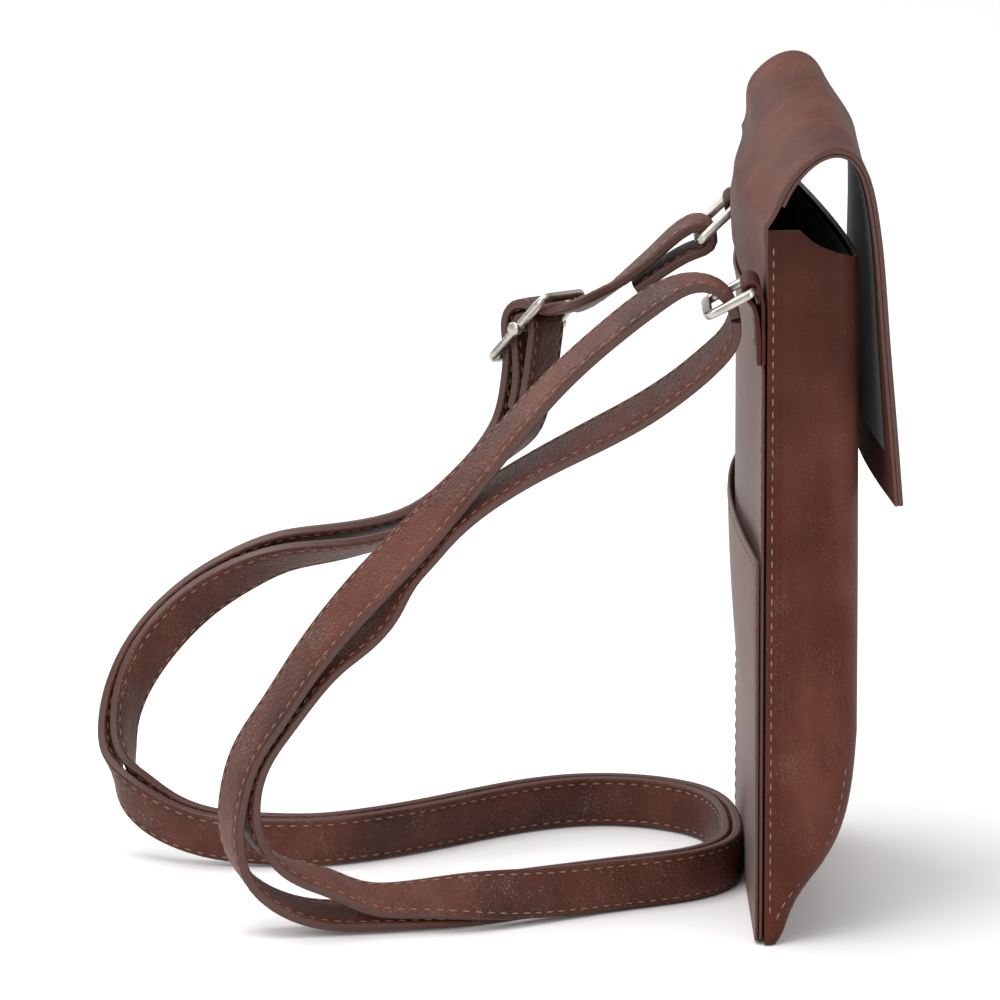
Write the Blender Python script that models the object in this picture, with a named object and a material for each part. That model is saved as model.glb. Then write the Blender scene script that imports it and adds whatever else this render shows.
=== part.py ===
"""Slim crossbody purse: moulded leather body, flap, two ringed tabs and one long adjustable strap.

Frame: metres, +Z up, X across the purse, -Y out of its front, +Y out of its back.
The origin is the middle of the bottom edge of the back panel, on the surface that the purse stands on.
"""

import math

import bmesh
import bpy
import numpy as np
from mathutils import Vector

MM = 0.001  # every size below is in millimetres

# Purse body
WIDTH = 110.0
HINGE_Z = 172.0  # where the flap starts
DEPTH = 21.7  # front of the purse, measured from the middle of the back panel
BACK_THICK = 1.1
BACK_FACE = 0.3  # y of the back panel's outer face
INSIDE_HALF_WIDTH = 53.3
BACK_HALF_WIDTH = 54.2
BACKING_THICK = 0.9
BACKING_TOP = 152.0
POCKET_THICK = 0.7
POCKET_TOP = 93.0
POCKET_BOW = 4.2
SHELL_THICK = 1.3
LINING_THICK = 0.4
FOLD_RADIUS = 8.0
FRONT_TOP = 165.0
FRONT_BOW = 14.5
LAYER = 0.25  # clearance between layers sewn together
GAP = 0.3  # clearance between pieces that touch

# Tabs and rings
TAB_WIDTH = 12.4
TAB_THICK = 1.3
NEAR_TAB_BAR = (3.9, 158.0)  # (y, z) of the bar that the ring hangs on
FAR_TAB_BAR = (3.9, 156.0)
RING_X = 48.7
RING_WIRE = 1.05
RING_INNER_WIDTH = 13.4
RING_REACH = 11.5  # from the hanging bar to the strap bar
NEAR_RING_SLOPE = 28.0
FAR_RING_SLOPE = 44.0

# Strap
STRAP_WIDTH = 12.0
STRAP_THICK = 2.4
STRAP_STEP = 3.0

# Slide adjuster
SLIDE_CENTRE = (48.0, 51.0, 125.7)
SLIDE_ACROSS = (0.77, -0.63, -0.10)
SLIDE_ALONG = (0.30, 0.60, -0.74)
SLIDE_REACH = 11.0  # from the middle bar to each end bar
SLIDE_HALF_WIDTH = 7.8
SLIDE_WIRE = 1.0

# Snap fastener
SNAP_Z = 120.0
SNAP_RADIUS = 7.0

# The strap's routes: centre of the strap, then the way across its width. Each list is in the
# order that the strap runs.
SEWN_LOOP = [
    (48.3, 27.4, 135.0, 0.99, -0.10, 0.00),
    (48.7, 19.9, 140.4, 1.00, 0.00, 0.00),
    (48.7, 12.7, 144.3, 1.00, 0.00, 0.00),
    (48.7, 9.5, 146.0, 1.00, 0.00, 0.00),
    (48.7, 9.0, 148.8, 1.00, 0.00, 0.00),
    (48.7, 11.5, 150.9, 1.00, 0.00, 0.00),
    (48.7, 15.7, 149.6, 1.00, 0.00, 0.00),
    (48.6, 22.4, 143.7, 1.00, -0.05, 0.00),
    (47.6, 29.4, 137.9, 0.97, -0.20, 0.00),
    (45.8, 35.9, 133.7, 0.90, -0.42, -0.05),
]
SLIDE_OVER = [
    (43.0, 43.3, 131.4, 0.80, -0.59, -0.10),
    (45.3, 46.8, 130.6, 0.77, -0.63, -0.10),
    (47.8, 49.9, 131.2, 0.77, -0.63, -0.10),
    (50.4, 53.3, 130.6, 0.77, -0.63, -0.10),
    (51.6, 55.3, 127.1, 0.77, -0.63, -0.10),
    (51.1, 55.3, 123.0, 0.77, -0.63, -0.10),
    (50.3, 55.0, 118.6, 0.77, -0.63, -0.11),
    (50.1, 55.4, 114.0, 0.78, -0.61, -0.13),
    (50.1, 56.3, 108.2, 0.80, -0.58, -0.15),
    (50.2, 58.1, 102.2, 0.83, -0.53, -0.19),
]
SEWN_END = [
    (48.0, 54.2, 105.9, 0.81, -0.57, -0.15),
    (47.9, 53.0, 111.8, 0.79, -0.60, -0.13),
    (48.5, 52.8, 117.8, 0.77, -0.63, -0.11),
    (49.4, 53.2, 122.9, 0.77, -0.63, -0.10),
    (49.8, 53.2, 125.9, 0.77, -0.63, -0.10),
    (49.3, 52.3, 127.7, 0.77, -0.63, -0.10),
    (48.1, 50.7, 128.4, 0.77, -0.63, -0.10),
    (46.8, 49.3, 127.5, 0.77, -0.63, -0.10),
    (46.2, 48.9, 125.5, 0.77, -0.63, -0.10),
    (46.1, 49.2, 122.6, 0.77, -0.63, -0.10),
    (46.0, 49.8, 117.6, 0.77, -0.63, -0.11),
    (46.0, 50.8, 111.6, 0.79, -0.60, -0.13),
    (46.2, 52.0, 105.7, 0.81, -0.57, -0.15),
    (46.5, 54.1, 99.9, 0.84, -0.52, -0.18),
]
# Where the two runs lie on each other: the middle between them, the way across, the gap.
DOUBLED = [
    (47.5, 62.5, 94.0, 0.88, -0.40, -0.25, 0.4),
    (46.2, 69.5, 87.2, 0.92, -0.22, -0.31, 0.5),
    (45.0, 76.4, 81.4, 0.93, -0.10, -0.36, 0.8),
    (43.9, 83.4, 77.6, 0.92, -0.02, -0.40, 1.2),
    (42.8, 91.6, 75.2, 0.89, 0.03, -0.45, 1.6),
    (41.4, 101.4, 73.6, 0.83, 0.05, -0.55, 1.6),
    (40.2, 112.1, 72.0, 0.75, -0.03, -0.66, 1.3),
    (38.6, 122.1, 68.2, 0.60, -0.18, -0.78, 0.8),
    (36.9, 131.4, 62.8, 0.51, -0.43, -0.74, 0.4),
    (35.0, 139.8, 55.7, 0.47, -0.58, -0.67, 0.4),
    (33.9, 146.0, 48.0, 0.55, -0.67, -0.50, 0.4),
    (32.8, 150.1, 40.4, 0.72, -0.61, -0.33, 0.5),
    (31.0, 152.4, 32.6, 0.85, -0.46, -0.26, 0.8),
    (28.6, 152.4, 25.2, 0.90, -0.28, -0.30, 1.2),
    (25.0, 149.6, 18.4, 0.74, 0.14, -0.62, 1.3),
    (21.4, 143.7, 12.8, 0.48, 0.36, -0.78, 0.9),
    (18.9, 136.4, 9.4, 0.36, 0.24, -0.89, 0.4),
    (17.2, 127.8, 7.5, 0.28, 0.10, -0.95, 0.4),
    (16.6, 116.2, 6.6, 0.18, 0.02, -0.98, 0.4),
    (16.8, 104.8, 6.4, 0.14, 0.00, -0.99, 0.4),
    (20.6, 93.8, 6.4, 0.13, 0.03, -0.99, 0.4),
    (27.4, 81.6, 6.4, 0.12, 0.06, -0.99, 0.4),
    (36.4, 69.2, 6.3, 0.10, 0.06, -0.99, 0.4),
    (44.6, 57.2, 6.3, 0.08, 0.05, -1.00, 0.4),
    (50.2, 45.2, 6.3, 0.06, 0.02, -1.00, 0.4),
    (51.9, 33.6, 6.2, 0.04, 0.00, -1.00, 0.4),
    (48.4, 21.3, 6.2, 0.02, -0.02, -1.00, 0.4),
    (40.2, 11.4, 6.1, 0.00, -0.02, -1.00, 0.4),
    (29.6, 7.0, 6.1, 0.00, 0.00, -1.00, 0.4),
    (18.5, 5.5, 6.1, 0.00, 0.00, -1.00, 0.4),
    (7.5, 5.3, 6.1, 0.00, 0.00, -1.00, 0.4),
    (-3.2, 7.1, 6.1, 0.00, 0.00, -1.00, 0.4),
    (-12.4, 13.7, 6.1, 0.00, 0.00, -1.00, 0.4),
    (-18.8, 24.8, 6.1, -0.02, 0.00, -1.00, 0.4),
    (-23.4, 35.4, 6.2, -0.06, 0.00, -1.00, 0.4),
    (-28.8, 46.6, 6.4, -0.15, 0.00, -0.99, 0.6),
    (-33.6, 57.9, 6.6, -0.34, 0.00, -0.94, 1.0),
    (-36.6, 69.8, 6.3, -0.68, 0.00, -0.73, 1.2),
    (-37.2, 81.4, 5.4, -0.88, 0.00, -0.47, 1.1),
]
RISING_OUTER = [
    (-38.0, 92.4, 3.4, -0.94, 0.00, -0.33),
    (-39.6, 103.4, 3.7, -0.97, -0.05, -0.23),
    (-40.8, 114.0, 7.0, -0.98, -0.12, -0.14),
    (-41.3, 121.9, 13.6, -0.97, -0.22, -0.07),
    (-41.2, 125.3, 22.4, -0.93, -0.34, -0.05),
    (-41.2, 124.9, 33.0, -0.90, -0.41, -0.12),
    (-41.6, 121.8, 43.6, -0.89, -0.40, -0.20),
    (-42.0, 115.7, 53.6, -0.88, -0.37, -0.27),
    (-42.7, 108.1, 65.6, -0.86, -0.38, -0.33),
    (-44.0, 96.9, 80.4, -0.78, -0.44, -0.43),
    (-45.1, 83.4, 95.4, -0.76, -0.47, -0.44),
    (-45.6, 69.8, 110.6, -0.89, -0.32, -0.31),
    (-46.4, 57.8, 125.0, -0.95, -0.20, -0.23),
    (-47.2, 46.2, 137.8, -0.97, -0.15, -0.20),
    (-47.8, 35.0, 148.0, -0.97, -0.14, -0.21),
    (-48.2, 24.6, 155.8, -0.98, -0.12, -0.16),
    (-48.5, 16.6, 158.8, -1.00, -0.02, -0.02),
    (-48.6, 11.6, 157.6, -1.00, 0.00, 0.02),
    (-48.6, 8.9, 154.6, -1.00, 0.00, 0.00),
    (-48.6, 7.7, 151.5, -1.00, 0.00, 0.00),
]
RISING_INNER = [
    (-48.6, 7.5, 150.6, -1.00, 0.00, 0.00),
    (-48.5, 8.4, 146.4, -0.98, -0.15, -0.06),
    (-48.4, 12.2, 141.4, -0.96, -0.22, -0.16),
    (-48.2, 19.4, 135.0, -0.95, -0.18, -0.25),
    (-47.9, 28.5, 128.5, -0.94, -0.16, -0.31),
    (-47.4, 38.4, 122.8, -0.93, -0.13, -0.33),
    (-46.8, 49.2, 117.0, -0.95, -0.09, -0.29),
    (-45.8, 61.8, 109.4, -0.96, -0.12, -0.24),
    (-44.6, 73.7, 100.4, -0.92, -0.26, -0.30),
    (-42.4, 81.0, 93.3, -0.76, -0.46, -0.46),
    (-42.0, 85.4, 87.9, -0.75, -0.46, -0.48),
    (-41.0, 89.1, 80.5, -0.76, -0.45, -0.46),
    (-40.4, 94.9, 72.9, -0.81, -0.42, -0.41),
    (-40.4, 101.5, 67.1, -0.85, -0.40, -0.35),
    (-40.6, 107.3, 60.5, -0.87, -0.38, -0.30),
    (-40.6, 113.4, 52.1, -0.89, -0.37, -0.28),
    (-40.3, 119.4, 42.6, -0.89, -0.39, -0.22),
    (-39.8, 121.8, 33.5, -0.90, -0.42, -0.10),
    (-39.4, 120.8, 24.6, -0.93, -0.36, 0.03),
    (-39.9, 116.8, 18.8, -0.98, -0.17, 0.09),
    (-41.3, 110.6, 14.9, -1.00, -0.04, -0.08),
    (-41.5, 102.8, 12.1, -0.97, -0.09, -0.23),
    (-39.6, 93.3, 7.7, -0.93, -0.15, -0.32),
]


def unit(v):
    return v / np.linalg.norm(v, axis=-1, keepdims=True)


def smooth_through(points, spacing):
    """A natural cubic curve through the points, read about every spacing."""
    points = np.asarray(points, float)
    chord = np.linalg.norm(np.diff(points[:, :3], axis=0), axis=1)
    at = np.concatenate([[0.0], np.cumsum(chord)])
    count = len(at)
    matrix = np.zeros((count, count))
    right = np.zeros((count, points.shape[1]))
    matrix[0, 0] = matrix[-1, -1] = 1.0
    for i in range(1, count - 1):
        before, after = chord[i - 1], chord[i]
        matrix[i, i - 1 : i + 2] = before, 2.0 * (before + after), after
        rise = (points[i + 1] - points[i]) / after - (points[i] - points[i - 1]) / before
        right[i] = 6.0 * rise
    bend = np.linalg.solve(matrix, right)
    read = []
    for i in range(count - 1):
        steps = max(1, round(chord[i] / spacing))
        for k in range(steps):
            u = k / steps * chord[i]
            v = chord[i] - u
            cubic = bend[i] * v**3 + bend[i + 1] * u**3
            low = (points[i] / chord[i] - bend[i] * chord[i] / 6.0) * v
            high = (points[i + 1] / chord[i] - bend[i + 1] * chord[i] / 6.0) * u
            read.append(cubic / (6.0 * chord[i]) + low + high)
    read.append(points[-1])
    return np.array(read)


def frames(route):
    """Along, across and outward directions at each point of a route."""
    along = unit(np.gradient(route[:, :3], axis=0))
    across = route[:, 3:6]
    across = unit(across - along * np.sum(across * along, axis=1, keepdims=True))
    return along, across, np.cross(across, along)


def doubled_layer(side):
    """The outer (side 1) or inner (side -1) run's own route where the runs are doubled."""
    middle = np.array(DOUBLED)
    outward = frames(middle)[2]
    apart = (STRAP_THICK + middle[:, 6:7]) / 2.0
    moved = middle[:, :3] + side * outward * apart
    return [tuple(row) for row in np.hstack([moved, middle[:, 3:6]])]


def through_route():
    return SEWN_LOOP + SLIDE_OVER + doubled_layer(1) + RISING_OUTER


def return_route():
    return RISING_INNER + doubled_layer(-1)[::-1] + SEWN_END[::-1]


def material(name, colour, roughness, metallic=0.0):
    made = bpy.data.materials.new(name)
    made.use_nodes = True
    shader = made.node_tree.nodes["Principled BSDF"]
    shader.inputs["Base Color"].default_value = (*colour, 1.0)
    shader.inputs["Roughness"].default_value = roughness
    shader.inputs["Metallic"].default_value = metallic
    return made


def leather(name, shade=1.0):
    return material(name, (0.115 * shade, 0.040 * shade, 0.027 * shade), 0.45)


def finish(name, bm, surface, pivot=(0.0, 0.0, 0.0)):
    """Makes the object from a mesh in millimetres, with its origin on the pivot."""
    bmesh.ops.recalc_face_normals(bm, faces=bm.faces)
    if bm.calc_volume(signed=True) < 0:
        bmesh.ops.reverse_faces(bm, faces=bm.faces)
    for vert in bm.verts:
        vert.co = (vert.co - Vector(pivot)) * MM
    mesh = bpy.data.meshes.new(name)
    bm.to_mesh(mesh)
    bm.free()
    mesh.materials.append(surface)
    made = bpy.data.objects.new(name, mesh)
    made.location = Vector(pivot) * MM
    bpy.context.scene.collection.objects.link(made)
    return made


def loft(bm, sections):
    """Bridges closed sections of equal count, one after another, and caps both ends."""
    loops = [[bm.verts.new(Vector(point)) for point in section] for section in sections]
    for first, second in zip(loops, loops[1:]):
        for i, vert in enumerate(first):
            j = (i + 1) % len(first)
            bm.faces.new((vert, first[j], second[j], second[i]))
    bm.faces.new(loops[0])
    bm.faces.new(loops[-1][::-1])


def ribbon(name, route, surface):
    """A flat strap along a route, as one closed solid."""
    read = smooth_through(route, STRAP_STEP)
    _, across, outward = frames(read)
    half_width = STRAP_WIDTH / 2.0
    half_thick = STRAP_THICK / 2.0
    corners = [(-1, -1), (1, -1), (1, 1), (-1, 1)]
    sections = []
    for point, side, out in zip(read[:, :3], across, outward):
        sections.append([point + side * half_width * u + out * half_thick * v for u, v in corners])
    bm = bmesh.new()
    loft(bm, sections)
    return finish(name, bm, surface)


def flat_panel(name, outline, y_low, y_high, surface, bow=None):
    """A panel whose (x, z) outline is given as rows from the bottom up, with an optional bow."""
    bm = bmesh.new()
    sections = []
    for z, xs in outline:
        front = [(x, y_low + (bow(x, z) if bow else 0.0), z) for x in xs]
        back = [(x, y_high + (bow(x, z) if bow else 0.0), z) for x in reversed(xs)]
        sections.append(front + back)
    loft(bm, sections)
    return finish(name, bm, surface)


def spread(half, count):
    return [half * (2.0 * i / (count - 1) - 1.0) for i in range(count)]


def smoothstep(low, high, value):
    t = min(max((value - low) / (high - low), 0.0), 1.0)
    return t * t * (3.0 - 2.0 * t)


def corner_inset(z):
    """How far the panels' sides draw in at their rounded bottom corners."""
    radius = 3.0
    if z >= radius:
        return 0.0
    return radius - math.sqrt(radius**2 - (radius - z) ** 2)


def back_panel():
    rows = [(z, spread(INSIDE_HALF_WIDTH - corner_inset(z), 2)) for z in (0.0, 0.8, 3.0, HINGE_Z - 0.6)]
    flat_panel("back_panel", rows, BACK_FACE - BACK_THICK, BACK_FACE, leather("back_leather"))


def backing_panel():
    """Second panel on the back, with a notch at each top corner for a tab."""
    y_low = BACK_FACE + LAYER
    y_high = y_low + BACKING_THICK
    notch_inner = RING_X - TAB_WIDTH / 2.0 - GAP
    notch_low = 139.6
    bm = bmesh.new()
    rows = []
    for z in (0.0, 0.8, 3.0):
        half = BACK_HALF_WIDTH - corner_inset(z)
        rows.append((half, z))
    outline = [(-x, z) for x, z in rows[::-1]] + [(x, z) for x, z in rows]
    outline += [(BACK_HALF_WIDTH, notch_low), (notch_inner, notch_low), (notch_inner, BACKING_TOP)]
    outline += [(-notch_inner, BACKING_TOP), (-notch_inner, notch_low), (-BACK_HALF_WIDTH, notch_low)]
    loft(bm, [[(x, y, z) for x, z in outline] for y in (y_low, y_high)])
    return finish("backing_panel", bm, leather("backing_leather", 0.9))


def pocket_bow(x, z):
    across = 1.0 - (x / BACK_HALF_WIDTH) ** 2
    return POCKET_BOW * across * smoothstep(18.0, POCKET_TOP, z)


def pocket_panel():
    y_low = BACK_FACE + BACKING_THICK + 2.0 * LAYER
    levels = [0.0, 0.8, 3.0, 18.0, 36.0, 54.0, 72.0, POCKET_TOP]
    rows = [(z, spread(BACK_HALF_WIDTH - corner_inset(z), 13)) for z in levels]
    flat_panel("pocket_panel", rows, y_low, y_low + POCKET_THICK, leather("pocket_leather"), pocket_bow)


def back_lining():
    y_high = BACK_FACE - BACK_THICK - 0.25
    rows = [(z, spread(51.0, 2)) for z in (14.0, 169.0)]
    cloth = material("lining_cloth", (0.012, 0.012, 0.012), 0.85)
    flat_panel("back_lining", rows, y_high - LINING_THICK, y_high, cloth)


# Side profile of the front from the bottom seam up: (z, y)
FRONT_PROFILE = [
    (0.0, -2.6),
    (1.2, -3.6),
    (4.8, -5.2),
    (9.7, -7.4),
    (15.7, -12.0),
    (23.0, -16.6),
    (35.0, -20.2),
    (50.0, -21.7),
]
FRONT_LEVELS = [64.0, 80.0, 96.0, 112.0, 128.0, 144.0, 156.0, 162.0]


def front_bow(x, z):
    """The front's upper part is drawn in towards the back, more so at the far side."""
    share = max((x + WIDTH / 2.0) / WIDTH, 0.0)
    return FRONT_BOW * share**1.4 * smoothstep(70.0, FRONT_TOP, z)


def drawn_in(x, y, z):
    """The front's bow at one of its points, dying out at the back edge."""
    part = min(max(-(y + 2.0) / (DEPTH - 4.0), 0.0), 1.0)
    return y + front_bow(x, min(z, FRONT_TOP)) * part


def gusset_top(y):
    """Height of the front piece's top edge: it drops from the back corner to the front."""
    if y > -8.0:
        return 172.4
    if y > -10.6:
        return 172.4 + (y + 8.0) / 2.6 * 3.4
    return 169.0 + (y + 10.6) / (DEPTH - 10.6) * (169.0 - FRONT_TOP)


def tray_section(z, y_front, inset, back_y):
    """One level of the moulded front: from one back corner round the folds to the other."""
    half = WIDTH / 2.0 - inset
    front = y_front + inset
    depth = back_y - front
    radius = max(min(FOLD_RADIUS, -0.7 * y_front) - inset, 0.2)
    side = [(-half, back_y - depth_part * (depth - radius), z) for depth_part in (0.0, 0.35, 0.7, 1.0)]
    fold = []
    for i in range(1, 6):
        angle = math.radians(90.0 * i / 6)
        fold.append((-half + radius * (1 - math.cos(angle)), front + radius * (1 - math.sin(angle)), z))
    across = [(x, front, z) for x in spread(half - radius, 9)]
    left = side + fold + across[:4]
    middle = [across[4]]
    right = [(-x, y, level) for x, y, level in reversed(left)]
    return left + middle + right


def tray(name, inset, thick, back_y, surface, top_cut):
    """The moulded front, as a wall of even thickness round one open tray."""
    bm = bmesh.new()
    grid = []
    levels = list(FRONT_PROFILE) + [(z, -DEPTH) for z in FRONT_LEVELS] + [(FRONT_TOP, -DEPTH)]
    lowest, lower_top = top_cut
    levels = [(z, y_front) for z, y_front in levels if z >= lowest]
    for index, (z, y_front) in enumerate(levels):
        level = tray_section(z, y_front, inset, back_y)
        level += tray_section(z, y_front, inset + thick, back_y)[::-1]
        if index == len(levels) - 1:
            level = [(x, y, gusset_top(y) - lower_top) for x, y, _ in level]
        grid.append([(x, drawn_in(x, y, height), height) for x, y, height in level])
    loft(bm, grid)
    return finish(name, bm, surface)


def front_pieces():
    tray("front_shell", 0.0, SHELL_THICK, BACK_FACE - 0.1, leather("front_leather"), (0.0, 0.0))
    cloth = material("front_lining_cloth", (0.012, 0.012, 0.012), 0.85)
    inset = SHELL_THICK + 0.25
    tray("front_lining", inset, LINING_THICK, BACK_FACE - BACK_THICK - 1.2, cloth, (14.0, 1.5))


# Flap outline on its outer face, from the hinge up over the top and down the front: (y, z)
FLAP_PROFILE = [
    (1.25, 173.4),
    (-0.6, 176.2),
    (-3.0, 181.0),
    (-6.4, 185.8),
    (-10.6, 189.4),
    (-15.3, 191.0),
    (-19.0, 190.2),
    (-21.8, 187.6),
    (-23.8, 183.4),
    (-25.5, 176.0),
    (-26.6, 168.0),
    (-28.2, 149.0),
    (-30.1, 127.0),
    (-31.8, 106.4),
]
FLAP_OUTER = 1.3
FLAP_INNER = 0.9


def flap_sag(x, z):
    """The flap's lower part lies nearer to the front away from its sprung near corner."""
    share = (x + WIDTH / 2.0) / WIDTH
    dish = 5.2 * math.sin(math.pi * min(share / 1.30, 1.0)) + 1.2 * share
    return dish * smoothstep(186.0, 106.0, z) + 5.0 * share * smoothstep(172.0, 186.0, z)


def flap_layer(name, outer_offset, thick, surface, first=0):
    """One layer of the flap, as an even sheet below the outline."""
    line = smooth_through([(y, z, 0.0) for y, z in FLAP_PROFILE], 6.0)[first:, :2]
    along = unit(np.gradient(line, axis=0))
    inward = np.stack([along[:, 1], -along[:, 0]], axis=1) * -1.0
    middle = line.mean(axis=0)
    if np.sum((middle - line[len(line) // 2]) * inward[len(line) // 2]) < 0:
        inward = -inward
    sections = []
    for x in spread(WIDTH / 2.0, 9):
        outer = [(x, y + flap_sag(x, z), z) for y, z in line + inward * outer_offset]
        inner = [(x, y + flap_sag(x, z), z) for y, z in line + inward * (outer_offset + thick)]
        sections.append(outer + inner[::-1])
    bm = bmesh.new()
    loft(bm, sections)
    return finish(name, bm, surface, (0.0, 0.0, HINGE_Z))


def flap():
    flap_layer("flap_leather", 0.0, FLAP_OUTER, leather("flap_outer_leather"))
    flap_layer("flap_lining", FLAP_OUTER + 0.25, FLAP_INNER, leather("flap_inner_leather", 0.7), 1)


def tab(name, x, bar):
    """A leather loop round the ring's bar, with both legs sewn to the back."""
    y_bar, z_bar = bar
    inner = RING_WIRE + GAP
    outer = inner + TAB_THICK
    y_seat = BACK_FACE + LAYER
    low = 140.0
    outside = [
        (y_seat, low),
        (y_seat, z_bar - 7.0),
        (y_seat + 0.2, z_bar - 3.0),
        (y_bar + outer * math.cos(math.radians(160.0)), z_bar + outer * math.sin(math.radians(160.0))),
    ]
    for degrees in (130.0, 100.0, 70.0, 40.0, 10.0, -20.0, -50.0):
        angle = math.radians(degrees)
        outside.append((y_bar + outer * math.cos(angle), z_bar + outer * math.sin(angle)))
    outside += [(y_seat + 2.9, z_bar - 5.4), (y_seat + 2.4, z_bar - 8.0), (y_seat + 2.4, low)]
    hole = []
    for i in range(12):
        angle = math.radians(30.0 * i)
        hole.append((y_bar + inner * math.cos(angle), z_bar + inner * math.sin(angle)))
    half = TAB_WIDTH / 2.0
    bm = bmesh.new()
    loft(bm, [[(x + side * half, y, z) for y, z in outside] for side in (-1, 1)])
    made = finish(name, bm, leather(name + "_leather"))
    cut = bmesh.new()
    loft(cut, [[(x + side * (half + 2.0), y, z) for y, z in hole] for side in (-1, 1)])
    cutter = finish(name + "_hole", cut, made.data.materials[0])
    cutter.hide_render = True
    cutter.display_type = "WIRE"
    boolean = made.modifiers.new("loop", "BOOLEAN")
    boolean.object = cutter
    boolean.operation = "DIFFERENCE"
    cutter.hide_set(True)
    return made


def wire_loop(bm, corners, radius, bend, sides=10, bend_steps=4):
    """A round wire along a closed flat outline with rounded corners."""
    corners = [Vector(corner) for corner in corners]
    path = []
    for i, corner in enumerate(corners):
        before = (corners[i - 1] - corner).normalized()
        after = (corners[(i + 1) % len(corners)] - corner).normalized()
        for k in range(bend_steps + 1):
            t = k / bend_steps
            start = corner + before * bend
            end = corner + after * bend
            path.append(start * (1 - t) ** 2 + corner * 2 * t * (1 - t) + end * t**2)
    flat = (corners[1] - corners[0]).cross(corners[2] - corners[1]).normalized()
    loops = []
    for i, point in enumerate(path):
        ahead = (path[(i + 1) % len(path)] - path[i - 1]).normalized()
        aside = ahead.cross(flat).normalized()
        loop = []
        for k in range(sides):
            angle = 2.0 * math.pi * k / sides
            offset = aside * math.cos(angle) + flat * math.sin(angle)
            loop.append(bm.verts.new(point + offset * radius))
        loops.append(loop)
    for i, loop in enumerate(loops):
        other = loops[(i + 1) % len(loops)]
        for k in range(sides):
            bm.faces.new((loop[k], loop[(k + 1) % sides], other[(k + 1) % sides], other[k]))


def ring(name, x, tab_bar, slope):
    """A rectangular wire ring on its tab's bar."""
    y_bar, z_bar = tab_bar
    half = RING_INNER_WIDTH / 2.0 + RING_WIRE
    angle = math.radians(slope)
    reach = Vector((0.0, math.cos(angle), -math.sin(angle))) * RING_REACH
    bar = Vector((x, y_bar, z_bar))
    side = Vector((half, 0.0, 0.0))
    bm = bmesh.new()
    wire_loop(bm, [bar - side, bar + side, bar + side + reach, bar - side + reach], RING_WIRE, 1.8)
    steel = material(name + "_nickel", (0.55, 0.53, 0.50), 0.3, 1.0)
    return finish(name, bm, steel, (x, y_bar, z_bar))


def slide_axes():
    across = Vector(SLIDE_ACROSS).normalized()
    along = Vector(SLIDE_ALONG)
    along = (along - across * along.dot(across)).normalized()
    return Vector(SLIDE_CENTRE), across, along


def slide_adjuster():
    """A flat wire frame with a riveted middle bar, which the strap is threaded through."""
    centre, across, along = slide_axes()
    side = across * SLIDE_HALF_WIDTH
    end = along * SLIDE_REACH
    corners = [centre - side - end, centre + side - end, centre + side + end, centre - side + end]
    bm = bmesh.new()
    wire_loop(bm, corners, SLIDE_WIRE, 1.8)
    steel = material("slide_nickel", (0.55, 0.53, 0.50), 0.3, 1.0)
    frame = finish("slide_frame", bm, steel)
    bar = bmesh.new()
    flat = across.cross(along)
    sections = []
    reach = SLIDE_HALF_WIDTH - SLIDE_WIRE - 0.3
    for share in (-1.0, 1.0):
        middle = centre + across * reach * share
        loop = []
        for k in range(10):
            angle = 2.0 * math.pi * k / 10
            loop.append(middle + along * SLIDE_WIRE * math.cos(angle) + flat * SLIDE_WIRE * math.sin(angle))
        sections.append(loop)
    loft(bar, sections)
    finish("slide_bar", bar, material("bar_nickel", (0.55, 0.53, 0.50), 0.3, 1.0))
    return frame


def disc(name, face, low, high, radius, surface, pivot=(0.0, 0.0, 0.0)):
    """A flat round piece that follows a face, from one distance off it to another."""
    count = 20
    sections = []
    for off in (low, high):
        loop = []
        for k in range(count):
            angle = 2.0 * math.pi * k / count
            x = radius * math.cos(angle)
            z = SNAP_Z + radius * math.sin(angle)
            loop.append((x, face(x, z) + off, z))
        sections.append(loop)
    bm = bmesh.new()
    loft(bm, sections)
    return finish(name, bm, surface, pivot)


def front_face(x, z):
    return -DEPTH + front_bow(x, z)


def flap_inner_face(x, z):
    """y of the flap's inner face on its front."""
    heights = [point[1] for point in FLAP_PROFILE[-6:]]
    faces = [point[0] for point in FLAP_PROFILE[-6:]]
    y = float(np.interp(z, heights[::-1], faces[::-1]))
    return y + flap_sag(x, z) + FLAP_OUTER + 0.25 + FLAP_INNER


def snap():
    steel = material("snap_nickel", (0.55, 0.53, 0.50), 0.3, 1.0)
    disc("snap_socket", front_face, -2.0, -GAP, SNAP_RADIUS, steel)
    behind = SHELL_THICK + LINING_THICK + 0.25 + GAP
    disc("snap_washer", front_face, behind, behind + 0.6, SNAP_RADIUS, steel)
    disc("snap_stud", flap_inner_face, GAP, 1.7, SNAP_RADIUS - 1.0, steel, (0.0, 0.0, HINGE_Z))


def main():
    for old in list(bpy.data.objects):
        bpy.data.objects.remove(old)
    back_panel()
    backing_panel()
    pocket_panel()
    back_lining()
    front_pieces()
    flap()
    snap()
    tab("near_tab", -RING_X, NEAR_TAB_BAR)
    tab("far_tab", RING_X, FAR_TAB_BAR)
    ring("near_ring", -RING_X, NEAR_TAB_BAR, NEAR_RING_SLOPE)
    ring("far_ring", RING_X, FAR_TAB_BAR, FAR_RING_SLOPE)
    slide_adjuster()
    ribbon("strap_through_run", through_route(), leather("strap_leather"))
    ribbon("strap_return_run", return_route(), leather("strap_return_leather"))


main()
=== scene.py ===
import math

import bmesh
import bpy
import numpy as np
from bpy.props import FloatProperty, FloatVectorProperty, PointerProperty
from mathutils import Matrix, Vector


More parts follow.
